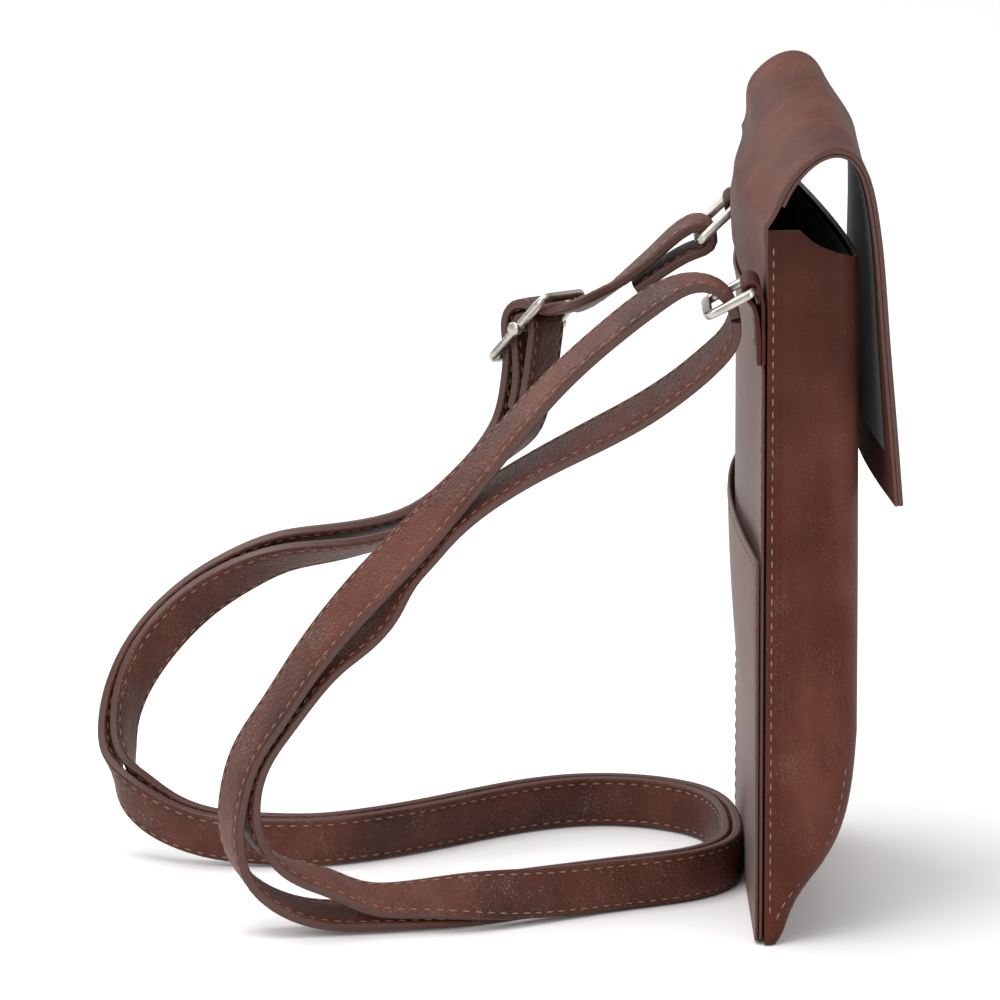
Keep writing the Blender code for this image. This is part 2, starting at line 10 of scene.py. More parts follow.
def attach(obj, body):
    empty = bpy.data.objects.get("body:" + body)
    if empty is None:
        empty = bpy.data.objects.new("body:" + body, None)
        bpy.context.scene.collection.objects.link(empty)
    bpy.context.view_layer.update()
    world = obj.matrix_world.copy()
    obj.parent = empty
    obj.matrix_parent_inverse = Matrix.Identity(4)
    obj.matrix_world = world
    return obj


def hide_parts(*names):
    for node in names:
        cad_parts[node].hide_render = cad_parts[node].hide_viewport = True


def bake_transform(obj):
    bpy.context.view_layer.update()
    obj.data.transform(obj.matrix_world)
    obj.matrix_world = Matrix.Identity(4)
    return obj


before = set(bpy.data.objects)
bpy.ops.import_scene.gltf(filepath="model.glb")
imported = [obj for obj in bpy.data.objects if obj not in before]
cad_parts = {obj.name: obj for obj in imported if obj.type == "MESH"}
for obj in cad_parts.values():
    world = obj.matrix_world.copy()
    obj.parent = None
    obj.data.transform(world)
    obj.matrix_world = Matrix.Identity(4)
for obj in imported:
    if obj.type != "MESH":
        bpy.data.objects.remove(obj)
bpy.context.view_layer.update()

bl_info = {
    "name": "Crossbody Purse",
    "version": (1, 0, 0),
    "blender": (4, 5, 0),
    "location": "View3D > Sidebar > Purse",
    "description": "Builds a slim leather crossbody purse piece by piece on its frame",
    "category": "Object",
}

MM = 0.001  # routes, outlines and offsets below are in millimetres
STRAP_THICK = 2.4
HALF_WIDTH = 55.0
BACK_HALF_WIDTH = 54.2
FRONT_DEPTH = 21.7
FRONT_TOP = 165.0
FRONT_BOW = 14.5
BACK_FACE = 0.3
LAYER = 0.25  # clearance between layers sewn together
BACKING_THICK = 0.9
BACKING_TOP = 152.0
POCKET_THICK = 0.7
POCKET_TOP = 93.0
POCKET_BOW = 4.2
TAB_SWELL = 1.7  # how far the backing lifts over the tabs' sewn ends
MARGIN_DEPTH = 1.2  # from the flap's outer face to its inner layer
MARGIN_THICK = 0.85
RING_X = 48.7
NEAR_BAR = (3.9, 158.0)
FAR_BAR = (3.9, 156.0)
NEAR_SLOPE = 28.0
FAR_SLOPE = 44.0
RING_WIRE = 1.05
RING_HALF = 7.75
RING_REACH = 11.5
SLIDE_CENTRE = (48.0, 51.0, 125.7)
SLIDE_ACROSS = (0.77, -0.63, -0.10)
SLIDE_ALONG = (0.30, 0.60, -0.74)
SLIDE_REACH = 11.0
SLIDE_HALF = 7.8
CAMERA_AZIMUTH = -91.4
CAMERA_ELEVATION = 14.2
CAMERA_AIM = (-0.0278, 0.0618, 0.1016)  # metres, like the next
CAMERA_DISTANCE = 2.9
CAMERA_LENS = 443.3

# Side outline of the front from the bottom seam up: (z, y)
FRONT_PROFILE = [
    (0.0, -2.6),
    (1.2, -3.6),
    (4.8, -5.2),
    (9.7, -7.4),
    (15.7, -12.0),
    (23.0, -16.6),
    (35.0, -20.2),
    (50.0, -21.7),
]
# Outer outline of the flap from the hinge over the top and down the front: (y, z)
FLAP_PROFILE = [
    (1.25, 173.4),
    (-0.6, 176.2),
    (-3.0, 181.0),
    (-6.4, 185.8),
    (-10.6, 189.4),
    (-15.3, 191.0),
    (-19.0, 190.2),
    (-21.8, 187.6),
    (-23.8, 183.4),
    (-25.5, 176.0),
    (-26.6, 168.0),
    (-28.2, 149.0),
    (-30.1, 127.0),
    (-31.8, 106.4),
]
# The strap's routes, in the order that it runs: its centre, then the way across its width. Where
# both runs lie together, the point is the middle between them and the last value is their gap.
SEWN_LOOP = [
    (48.3, 27.4, 135.0, 0.99, -0.10, 0.00),
    (48.7, 19.9, 140.4, 1.00, 0.00, 0.00),
    (48.7, 12.7, 144.3, 1.00, 0.00, 0.00),
    (48.7, 9.5, 146.0, 1.00, 0.00, 0.00),
    (48.7, 9.0, 148.8, 1.00, 0.00, 0.00),
    (48.7, 11.5, 150.9, 1.00, 0.00, 0.00),
    (48.7, 15.7, 149.6, 1.00, 0.00, 0.00),
    (48.6, 22.4, 143.7, 1.00, -0.05, 0.00),
    (47.6, 29.4, 137.9, 0.97, -0.20, 0.00),
    (45.8, 35.9, 133.7, 0.90, -0.42, -0.05),
]

SLIDE_OVER = [
    (43.0, 43.3, 131.4, 0.80, -0.59, -0.10),
    (45.3, 46.8, 130.6, 0.77, -0.63, -0.10),
    (47.8, 49.9, 131.2, 0.77, -0.63, -0.10),
    (50.4, 53.3, 130.6, 0.77, -0.63, -0.10),
    (51.6, 55.3, 127.1, 0.77, -0.63, -0.10),
    (51.1, 55.3, 123.0, 0.77, -0.63, -0.10),
    (50.3, 55.0, 118.6, 0.77, -0.63, -0.11),
    (50.1, 55.4, 114.0, 0.78, -0.61, -0.13),
    (50.1, 56.3, 108.2, 0.80, -0.58, -0.15),
    (50.2, 58.1, 102.2, 0.83, -0.53, -0.19),
]

SEWN_END = [
    (48.0, 54.2, 105.9, 0.81, -0.57, -0.15),
    (47.9, 53.0, 111.8, 0.79, -0.60, -0.13),
    (48.5, 52.8, 117.8, 0.77, -0.63, -0.11),
    (49.4, 53.2, 122.9, 0.77, -0.63, -0.10),
    (49.8, 53.2, 125.9, 0.77, -0.63, -0.10),
    (49.3, 52.3, 127.7, 0.77, -0.63, -0.10),
    (48.1, 50.7, 128.4, 0.77, -0.63, -0.10),
    (46.8, 49.3, 127.5, 0.77, -0.63, -0.10),
    (46.2, 48.9, 125.5, 0.77, -0.63, -0.10),
    (46.1, 49.2, 122.6, 0.77, -0.63, -0.10),
    (46.0, 49.8, 117.6, 0.77, -0.63, -0.11),
    (46.0, 50.8, 111.6, 0.79, -0.60, -0.13),
    (46.2, 52.0, 105.7, 0.81, -0.57, -0.15),
    (46.5, 54.1, 99.9, 0.84, -0.52, -0.18),
]

DOUBLED = [
    (47.5, 62.5, 94.0, 0.88, -0.40, -0.25, 0.4),
    (46.2, 69.5, 87.2, 0.92, -0.22, -0.31, 0.5),
    (45.0, 76.4, 81.4, 0.93, -0.10, -0.36, 0.8),
    (43.9, 83.4, 77.6, 0.92, -0.02, -0.40, 1.2),
    (42.8, 91.6, 75.2, 0.89, 0.03, -0.45, 1.6),
    (41.4, 101.4, 73.6, 0.83, 0.05, -0.55, 1.6),
    (40.2, 112.1, 72.0, 0.75, -0.03, -0.66, 1.3),
    (38.6, 122.1, 68.2, 0.60, -0.18, -0.78, 0.8),
    (36.9, 131.4, 62.8, 0.51, -0.43, -0.74, 0.4),
    (35.0, 139.8, 55.7, 0.47, -0.58, -0.67, 0.4),
    (33.9, 146.0, 48.0, 0.55, -0.67, -0.50, 0.4),
    (32.8, 150.1, 40.4, 0.72, -0.61, -0.33, 0.5),
    (31.0, 152.4, 32.6, 0.85, -0.46, -0.26, 0.8),
    (28.6, 152.4, 25.2, 0.90, -0.28, -0.30, 1.2),
    (25.0, 149.6, 18.4, 0.74, 0.14, -0.62, 1.3),
    (21.4, 143.7, 12.8, 0.48, 0.36, -0.78, 0.9),
    (18.9, 136.4, 9.4, 0.36, 0.24, -0.89, 0.4),
    (17.2, 127.8, 7.5, 0.28, 0.10, -0.95, 0.4),
    (16.6, 116.2, 6.6, 0.18, 0.02, -0.98, 0.4),
    (16.8, 104.8, 6.4, 0.14, 0.00, -0.99, 0.4),
    (20.6, 93.8, 6.4, 0.13, 0.03, -0.99, 0.4),
    (27.4, 81.6, 6.4, 0.12, 0.06, -0.99, 0.4),
    (36.4, 69.2, 6.3, 0.10, 0.06, -0.99, 0.4),
    (44.6, 57.2, 6.3, 0.08, 0.05, -1.00, 0.4),
    (50.2, 45.2, 6.3, 0.06, 0.02, -1.00, 0.4),
    (51.9, 33.6, 6.2, 0.04, 0.00, -1.00, 0.4),
    (48.4, 21.3, 6.2, 0.02, -0.02, -1.00, 0.4),
    (40.2, 11.4, 6.1, 0.00, -0.02, -1.00, 0.4),
    (29.6, 7.0, 6.1, 0.00, 0.00, -1.00, 0.4),
    (18.5, 5.5, 6.1, 0.00, 0.00, -1.00, 0.4),
    (7.5, 5.3, 6.1, 0.00, 0.00, -1.00, 0.4),
    (-3.2, 7.1, 6.1, 0.00, 0.00, -1.00, 0.4),
    (-12.4, 13.7, 6.1, 0.00, 0.00, -1.00, 0.4),
    (-18.8, 24.8, 6.1, -0.02, 0.00, -1.00, 0.4),
    (-23.4, 35.4, 6.2, -0.06, 0.00, -1.00, 0.4),
    (-28.8, 46.6, 6.4, -0.15, 0.00, -0.99, 0.6),
    (-33.6, 57.9, 6.6, -0.34, 0.00, -0.94, 1.0),
    (-36.6, 69.8, 6.3, -0.68, 0.00, -0.73, 1.2),
    (-37.2, 81.4, 5.4, -0.88, 0.00, -0.47, 1.1),
]

RISING_OUTER = [
    (-38.0, 92.4, 3.4, -0.94, 0.00, -0.33),
    (-39.6, 103.4, 3.7, -0.97, -0.05, -0.23),
    (-40.8, 114.0, 7.0, -0.98, -0.12, -0.14),
    (-41.3, 121.9, 13.6, -0.97, -0.22, -0.07),
    (-41.2, 125.3, 22.4, -0.93, -0.34, -0.05),
    (-41.2, 124.9, 33.0, -0.90, -0.41, -0.12),
    (-41.6, 121.8, 43.6, -0.89, -0.40, -0.20),
    (-42.0, 115.7, 53.6, -0.88, -0.37, -0.27),
    (-42.7, 108.1, 65.6, -0.86, -0.38, -0.33),
    (-44.0, 96.9, 80.4, -0.78, -0.44, -0.43),
    (-45.1, 83.4, 95.4, -0.76, -0.47, -0.44),
    (-45.6, 69.8, 110.6, -0.89, -0.32, -0.31),
    (-46.4, 57.8, 125.0, -0.95, -0.20, -0.23),
    (-47.2, 46.2, 137.8, -0.97, -0.15, -0.20),
    (-47.8, 35.0, 148.0, -0.97, -0.14, -0.21),
    (-48.2, 24.6, 155.8, -0.98, -0.12, -0.16),
    (-48.5, 16.6, 158.8, -1.00, -0.02, -0.02),
    (-48.6, 11.6, 157.6, -1.00, 0.00, 0.02),
    (-48.6, 8.9, 154.6, -1.00, 0.00, 0.00),
    (-48.6, 7.7, 151.5, -1.00, 0.00, 0.00),
]

RISING_INNER = [
    (-48.6, 7.5, 150.6, -1.00, 0.00, 0.00),
    (-48.5, 8.4, 146.4, -0.98, -0.15, -0.06),
    (-48.4, 12.2, 141.4, -0.96, -0.22, -0.16),
    (-48.2, 19.4, 135.0, -0.95, -0.18, -0.25),
    (-47.9, 28.5, 128.5, -0.94, -0.16, -0.31),
    (-47.4, 38.4, 122.8, -0.93, -0.13, -0.33),
    (-46.8, 49.2, 117.0, -0.95, -0.09, -0.29),
    (-45.8, 61.8, 109.4, -0.96, -0.12, -0.24),
    (-44.6, 73.7, 100.4, -0.92, -0.26, -0.30),
    (-42.4, 81.0, 93.3, -0.76, -0.46, -0.46),
    (-42.0, 85.4, 87.9, -0.75, -0.46, -0.48),
    (-41.0, 89.1, 80.5, -0.76, -0.45, -0.46),
    (-40.4, 94.9, 72.9, -0.81, -0.42, -0.41),
    (-40.4, 101.5, 67.1, -0.85, -0.40, -0.35),
    (-40.6, 107.3, 60.5, -0.87, -0.38, -0.30),
    (-40.6, 113.4, 52.1, -0.89, -0.37, -0.28),
    (-40.3, 119.4, 42.6, -0.89, -0.39, -0.22),
    (-39.8, 121.8, 33.5, -0.90, -0.42, -0.10),
    (-39.4, 120.8, 24.6, -0.93, -0.36, 0.03),
    (-39.9, 116.8, 18.8, -0.98, -0.17, 0.09),
    (-41.3, 110.6, 14.9, -1.00, -0.04, -0.08),
    (-41.5, 102.8, 12.1, -0.97, -0.09, -0.23),
    (-39.6, 93.3, 7.7, -0.93, -0.15, -0.32),
]


def unit(v):
    return v / np.linalg.norm(v, axis=-1, keepdims=True)


def smooth_through(points, spacing):
    """A natural cubic curve through the points, read about every spacing."""
    points = np.asarray(points, float)
    chord = np.linalg.norm(np.diff(points[:, :3], axis=0), axis=1)
    at = np.concatenate([[0.0], np.cumsum(chord)])
    count = len(at)
    matrix = np.zeros((count, count))
    right = np.zeros((count, points.shape[1]))
    matrix[0, 0] = matrix[-1, -1] = 1.0
    for i in range(1, count - 1):
        before, after = chord[i - 1], chord[i]
        matrix[i, i - 1 : i + 2] = before, 2.0 * (before + after), after
        rise = (points[i + 1] - points[i]) / after - (points[i] - points[i - 1]) / before
        right[i] = 6.0 * rise
    bend = np.linalg.solve(matrix, right)
    read = []
    for i in range(count - 1):
        steps = max(1, round(chord[i] / spacing))
        for k in range(steps):
            u = k / steps * chord[i]
            v = chord[i] - u
            cubic = bend[i] * v**3 + bend[i + 1] * u**3
            low = (points[i] / chord[i] - bend[i] * chord[i] / 6.0) * v
            high = (points[i + 1] / chord[i] - bend[i + 1] * chord[i] / 6.0) * u
            read.append(cubic / (6.0 * chord[i]) + low + high)
    read.append(points[-1])
    return np.array(read)


def frames(route):
    """Along, across and outward directions at each point of a route."""
    along = unit(np.gradient(route[:, :3], axis=0))
    across = route[:, 3:6]
    across = unit(across - along * np.sum(across * along, axis=1, keepdims=True))
    return along, across, np.cross(across, along)


def doubled_layer(side):
    """The outer (side 1) or inner (side -1) run's own route where the runs are doubled."""
    middle = np.array(DOUBLED)
    outward = frames(middle)[2]
    apart = (STRAP_THICK + middle[:, 6:7]) / 2.0
    moved = middle[:, :3] + side * outward * apart
    return [tuple(row) for row in np.hstack([moved, middle[:, 3:6]])]


def through_route():
    return SEWN_LOOP + SLIDE_OVER + doubled_layer(1) + RISING_OUTER


def return_route():
    return RISING_INNER + doubled_layer(-1)[::-1] + SEWN_END[::-1]


def smoothstep(low, high, value):
    t = min(max((value - low) / (high - low), 0.0), 1.0)
    return t * t * (3.0 - 2.0 * t)


def spread(half, count):
    return [half * (2.0 * i / (count - 1) - 1.0) for i in range(count)]


def back_bow(x, z):
    """How far the back bulges outwards between the tabs."""
    across = math.cos(math.pi / 2.0 * min(abs(x) / 50.0, 1.0)) ** 1.6
    bulge = 3.6 * smoothstep(30.0, 95.0, z) + 2.2 * smoothstep(146.0, 160.0, z)
    return across * bulge * (1.0 - smoothstep(166.0, 186.0, z))


def front_bow(x, z):
    """The front's upper part is drawn in towards the back, more so at the far side."""
    share = max((x + HALF_WIDTH) / (2.0 * HALF_WIDTH), 0.0)
    return FRONT_BOW * share**1.4 * smoothstep(70.0, FRONT_TOP, z)


def drawn_in(x, y, z):
    """The front's bow at one of its points, dying out at the back edge."""
    part = min(max(-(y + 2.0) / (FRONT_DEPTH - 4.0), 0.0), 1.0)
    return y + front_bow(x, min(z, FRONT_TOP)) * part


def flap_place(x, y, z):
    """A point of the flap, which sinks away from its near corner and swings back at its far end."""
    share = (x + HALF_WIDTH) / (2.0 * HALF_WIDTH)
    dish = 5.2 * math.sin(math.pi * min(share / 1.30, 1.0)) + 1.2 * share
    y += dish * smoothstep(186.0, 106.0, z) + 5.0 * share * smoothstep(172.0, 186.0, z)
    rise = 0.8 * smoothstep(172.0, 190.0, z)
    return (x, y + back_bow(x, z) * smoothstep(-12.0, -4.0, y), z + rise)


def corner_inset(z, radius=3.0):
    return 0.0 if z >= radius else radius - math.sqrt(radius**2 - (radius - z) ** 2)


# ---------------------------------------------------------------- materials


class Finish:
    """A short way to wire one surface's nodes."""

    def __init__(self, name):
        self.material = bpy.data.materials.new(name)
        self.material.use_nodes = True
        self.tree = self.material.node_tree
        self.shader = self.tree.nodes["Principled BSDF"]
        self.place = self.node("ShaderNodeTexCoord").outputs["Object"]

    def node(self, kind, **inputs):
        made = self.tree.nodes.new(kind)
        for key, value in inputs.items():
            self.give(made.inputs[key.replace("_", " ")], value)
        return made

    def give(self, socket, value):
        if isinstance(value, bpy.types.NodeSocket):
            self.tree.links.new(value, socket)
        else:
            socket.default_value = value

    def set(self, **inputs):
        for key, value in inputs.items():
            self.give(self.shader.inputs[key.replace("_", " ")], value)

    def stretched(self, scale):
        return self.node("ShaderNodeMapping", Vector=self.place, Scale=scale).outputs["Vector"]

    def noise(self, scale, detail=4.0, rough=0.55, place=None):
        made = self.node("ShaderNodeTexNoise", Scale=scale, Detail=detail, Roughness=rough)
        self.give(made.inputs["Vector"], place or self.place)
        return made.outputs["Fac"]

    def cells(self, scale):
        return self.node("ShaderNodeTexVoronoi", Scale=scale, Vector=self.place).outputs["Distance"]

    def ramp(self, fac, *stops):
        made = self.node("ShaderNodeValToRGB", Fac=fac)
        while len(made.color_ramp.elements) < len(stops):
            made.color_ramp.elements.new(0.5)
        for element, (at, colour) in zip(made.color_ramp.elements, stops):
            element.position = at
            element.color = (*colour, 1.0) if len(colour) == 3 else colour
        return made.outputs["Color"]

    def between(self, fac, low, high):
        made = self.node("ShaderNodeMapRange", Value=fac, To_Min=low, To_Max=high)
        return made.outputs["Result"]

    def mix(self, fac, first, second, blend="MIX"):
        made = self.tree.nodes.new("ShaderNodeMix")
        made.data_type = "RGBA"
        made.blend_type = blend
        for index, value in ((0, fac), (6, first), (7, second)):
            if isinstance(value, tuple) and len(value) == 3:
                value = (*value, 1.0)
            self.give(made.inputs[index], value)
        return made.outputs[2]

    def add(self, first, second, share=1.0):
        made = self.tree.nodes.new("ShaderNodeMath")
        made.operation = "MULTIPLY_ADD"
        self.give(made.inputs[0], second)
        self.give(made.inputs[1], share)
        self.give(made.inputs[2], first)
        return made.outputs[0]

    def bump(self, height, distance, strength=1.0):
        made = self.node("ShaderNodeBump", Height=height, Distance=distance, Strength=strength)
        self.set(Normal=made.outputs["Normal"])


def waxed_leather(name, shade, speckle=0.35, grain=1.0, sheen=0.01, gloss=0.12, top_shade=0.0):
    """Pull-up leather: cloudy red-brown with darker hand-rubbed patches and a fine dry grain, with painted
    shade that darkens it towards the top.
    """
    colours = bpy.context.scene.purse_finishes
    tones = (colours.deep, colours.leather, colours.worn)
    deep, mid, pale = (tuple(c * shade for c in tone) for tone in tones)
    made = Finish(name)
    clouds = made.noise(26.0, 3.0)
    streaks = made.noise(90.0, 4.0, 0.6, made.stretched((1.0, 1.0, 0.12)))
    tone = made.add(made.between(clouds, -0.22, 0.84), streaks, 0.45)
    colour = made.ramp(tone, (0.28, deep), (0.52, mid), (0.86, pale))
    dust = made.noise(2600.0, 3.0, 0.7)
    flecks = made.ramp(made.add(dust, made.noise(120.0, 2.0), 0.30), (0.74, (0, 0, 0)), (0.90, (1, 1, 1)))
    flecked = made.mix(flecks, colour, made.mix(speckle, colour, tuple(colours.dust)))
    pores = made.cells(1500.0)
    dark = made.ramp(pores, (0.0, (0.62, 0.60, 0.60)), (0.35, (1, 1, 1)))
    colour = made.mix(0.8, flecked, dark, "MULTIPLY")
    # Painted shade: the colour is darkened with height from 85 mm to 165 mm, so the top reads as lying in
    # shade under the flap.
    height = made.node("ShaderNodeSeparateXYZ", Vector=made.place).outputs["Z"]
    upper = made.node("ShaderNodeMapRange", Value=height, From_Min=0.085, From_Max=0.165).outputs["Result"]
    painted_top_shade = made.ramp(upper, (0.0, (1, 1, 1)), (1.0, (0.42, 0.36, 0.34)))
    made.set(Base_Color=made.mix(top_shade, colour, painted_top_shade, "MULTIPLY"))
    rough = made.between(made.add(clouds, dust, 0.5), 0.30, 0.62)
    made.set(Roughness=rough, Specular_IOR_Level=gloss, Sheen_Weight=sheen, Sheen_Roughness=0.45)
    made.set(Coat_Weight=0.02, Coat_Roughness=0.32)
    height = made.add(made.add(pores, made.noise(700.0, 5.0, 0.65), 1.2), made.noise(160.0, 3.0), 1.5)
    made.bump(height, 0.00016 * grain, 0.75)
    return made.material


def cut_edge(name, colour):
    """Burnished edge of cut leather."""
    made = Finish(name)
    fibres = made.noise(1400.0, 4.0, 0.7)
    made.set(Base_Color=made.ramp(fibres, (0.3, tuple(c * 0.6 for c in colour)), (0.7, tuple(colour))))
    made.set(Roughness=made.between(fibres, 0.35, 0.6), Coat_Weight=0.15, Coat_Roughness=0.35)
    made.bump(fibres, 0.00008, 0.6)
    return made.material


def woven_lining(name, colour):
    made = Finish(name)
    waves = []
    for direction in ("X", "Z"):
        wave = made.node("ShaderNodeTexWave", Scale=420.0, Vector=made.place)
        wave.bands_direction = direction
        waves.append(wave.outputs["Fac"])
    weave = made.add(waves[0], waves[1])
    shadow = tuple(c * 0.6 for c in colour)
    made.set(Base_Color=made.ramp(made.between(weave, 0.0, 0.5), (0.0, shadow), (1.0, tuple(colour))))
    made.set(Roughness=0.82, Sheen_Weight=0.15, Sheen_Roughness=0.5)
    made.bump(weave, 0.00006, 0.5)
    return made.material


def antique_nickel(name):
    colours = bpy.context.scene.purse_finishes
    made = Finish(name)
    wear = made.noise(420.0, 5.0, 0.6)
    stain = made.noise(90.0, 3.0)
    bright = tuple(colours.nickel)
    dull = tuple(c * 0.45 for c in bright)
    tarnish = made.add(made.between(stain, 0.0, 0.7), wear, 0.3)
    made.set(Base_Color=made.ramp(tarnish, (0.30, dull), (0.62, bright)))
    made.set(Metallic=1.0, Roughness=made.between(wear, 0.16, 0.40))
    made.bump(wear, 0.00005, 0.5)
    return made.material


def waxed_thread(name, colour):
    made = Finish(name)
    twist = made.noise(5200.0, 2.0)
    shadow = tuple(c * 0.55 for c in colour)
    made.set(Base_Color=made.ramp(twist, (0.3, shadow), (0.7, tuple(colour))), Roughness=0.6)
    return made.material


def finish_of(key):
    """Each surface is made once and shared."""
    if key in bpy.data.materials:
        return bpy.data.materials[key]
    colours = bpy.context.scene.purse_finishes
    makers = {
        # The body leather gets the full painted shade towards its top.
        "body leather": lambda: waxed_leather(key, 1.0, top_shade=1.0),
        "flap leather": lambda: waxed_leather(key, 0.95, 0.25),
        "back leather": lambda: waxed_leather(key, 1.0, 0.15, 0.7, 0.10, 0.2),
        "strap leather": lambda: waxed_leather(key, 0.98, 0.6, 2.0, 0.03, 0.24),
        "border leather": lambda: waxed_leather(key, 0.75, 0.2),
        "leather edge": lambda: cut_edge(key, colours.edge),
        "dark lining": lambda: woven_lining(key, colours.lining),
        "nickel": lambda: antique_nickel(key),
        "thread": lambda: waxed_thread(key, colours.thread),
    }
    return makers[key]()


# ---------------------------------------------------------------- shapes


def draped_grid(rows):
    """A grid whose points are moved onto rows of points, with a UV map that runs from 0 to 1 along its
    columns and rows.
    """
    count, wide = len(rows), len(rows[0])
    bm = bmesh.new()
    bmesh.ops.create_grid(bm, x_segments=wide - 1, y_segments=count - 1, size=1.0)
    bm.verts.ensure_lookup_table()
    uv = bm.loops.layers.uv.new("UVMap")
    for index, vert in enumerate(bm.verts):
        vert.co = Vector(rows[index // wide][index % wide]) * MM
    for face in bm.faces:
        for loop in face.loops:
            row, column = divmod(loop.vert.index, wide)
            loop[uv].uv = (column / (wide - 1), row / (count - 1))
    return bm


def rolled(rows, closed=False):
    """A tube through closed sections; its ends are capped, or joined when it is a closed ring."""
    rows = [list(row) + [row[0]] for row in rows]
    if closed:
        rows = rows + [rows[0]]
    bm = draped_grid(rows)
    bmesh.ops.remove_doubles(bm, verts=bm.verts, dist=1e-7)
    if not closed:
        bmesh.ops.holes_fill(bm, edges=[edge for edge in bm.edges if edge.is_boundary], sides=0)
    bmesh.ops.recalc_face_normals(bm, faces=bm.faces)
    if bm.calc_volume(signed=True) < 0:
        bmesh.ops.reverse_faces(bm, faces=bm.faces)
    return bm


def to_piece(name, bm, *finishes, smooth=40.0):
    mesh = bpy.data.meshes.new(name)
    bm.to_mesh(mesh)
    bm.free()
    for key in finishes:
        mesh.materials.append(finish_of(key))
    piece = bpy.data.objects.new(name, mesh)
    bpy.context.scene.collection.objects.link(piece)
    mesh.shade_smooth()
    mesh.set_sharp_from_angle(angle=math.radians(smooth))
    return piece


def settle(piece, smooth=40.0):
    """Makes the modifiers' result the piece's own mesh."""
    graph = bpy.context.evaluated_depsgraph_get()
    mesh = bpy.data.meshes.new_from_object(piece.evaluated_get(graph))
    piece.modifiers.clear()
    piece.data = mesh
    mesh.shade_smooth()
    mesh.set_sharp_from_angle(angle=math.radians(smooth))
    return piece


def panel(name, rows, thick, body_finish, outward, round_edge=0.28):
    """A cut sheet of leather: rows of its outer face, its thickness, and softly rounded edges."""
    bm = draped_grid(rows)
    bm.faces.ensure_lookup_table()
    bm.normal_update()
    if bm.faces[0].normal.dot(Vector(outward)) < 0:
        bmesh.ops.reverse_faces(bm, faces=bm.faces)
    piece = to_piece(name, bm, body_finish, "leather edge")
    wall = piece.modifiers.new("wall", "SOLIDIFY")
    wall.thickness = thick * MM
    wall.offset = -1.0
    wall.use_even_offset = False
    wall.material_offset_rim = 1
    edge = piece.modifiers.new("edge", "BEVEL")
    edge.width = round_edge * MM
    edge.segments = 3
    edge.limit_method = "ANGLE"
    edge.angle_limit = math.radians(50.0)
    return settle(piece)


def finish_piece(piece, body, slot, *nodes):
    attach(piece, body)
    if nodes:
        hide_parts(*nodes)
    return piece


def stitch_places(line, normals, pitch=3.0, length=2.1, width=0.42, proud=0.06):
    """Where each short stitch along a line lies, on the surface that its normal points from."""
    line = np.asarray(line, float)
    normals = np.asarray(normals, float)
    at = np.concatenate([[0.0], np.cumsum(np.linalg.norm(np.diff(line, axis=0), axis=1))])
    count = int((at[-1] - length) / pitch)
    places = []
    for i in range(count):
        middle = (i + 0.5) * pitch + (at[-1] - count * pitch) / 2.0
        ends = []
        for reach in (-length / 2, length / 2):
            ends.append(np.array([np.interp(middle + reach, at, line[:, k]) for k in range(3)]))
        normal = Vector([np.interp(middle, at, normals[:, k]) for k in range(3)]).normalized()
        along = Vector(ends[1] - ends[0]).normalized()
        side = normal.cross(along).normalized()
        normal = along.cross(side)
        centre = Vector((ends[0] + ends[1]) / 2.0) + normal * proud
        turn = Matrix((along, side, normal)).transposed().to_4x4()
        scale = Matrix.Diagonal((length / 2, width / 2, width / 2.6, 1.0))
        places.append(np.array(Matrix.Translation(centre * MM) @ turn @ Matrix.Scale(MM, 4) @ scale))
    return places


def thread_piece(name, seams, body, slot, **kind):
    """One small stitch, repeated along every seam."""
    bm = bmesh.new()
    bmesh.ops.create_uvsphere(bm, u_segments=7, v_segments=5, radius=1.0)
    corners = np.array([[*vert.co, 1.0] for vert in bm.verts])
    faces = [[vert.index for vert in face.verts] for face in bm.faces]
    bm.free()
    places = [place for line, normals in seams for place in stitch_places(line, normals, **kind)]
    points = np.concatenate([(corners @ place.T)[:, :3] for place in places])
    all_faces = [[index + i * len(corners) for index in face] for i in range(len(places)) for face in faces]
    mesh = bpy.data.meshes.new(name)
    mesh.from_pydata(points.tolist(), [], all_faces)
    mesh.materials.append(finish_of("thread"))
    mesh.shade_smooth()
    piece = bpy.data.objects.new(name, mesh)
    bpy.context.scene.collection.objects.link(piece)
    return finish_piece(piece, body, slot)


# ---------------------------------------------------------------- strap


def strap_section(width, thick):
    """One turn round the strap, with a groove for each row of stitches: (across, outward, is it an edge)."""
    half, high, groove = width / 2.0, thick / 2.0, 0.16
    face = [(-half + 0.45, high - 0.10), (-half + 0.9, high), (-half + 1.15, high - groove)]
    face += [(-half + 1.55, high - groove), (-half + 1.9, high + 0.02), (-half + 3.4, high + 0.08)]
    face += [(0.0, high + 0.10)]
    face += [(-u, v) for u, v in face[-2::-1]]
    side = [(half - 0.12, high - 0.38), (half - 0.02, high - 0.8), (half - 0.16, 0.0)]
    side += [(u, -v) for u, v in side[-2::-1]]
    points = [(u, v, False) for u, v in face] + [(u, v, True) for u, v in side]
    return points + [(-u, -v, is_edge) for u, v, is_edge in points]


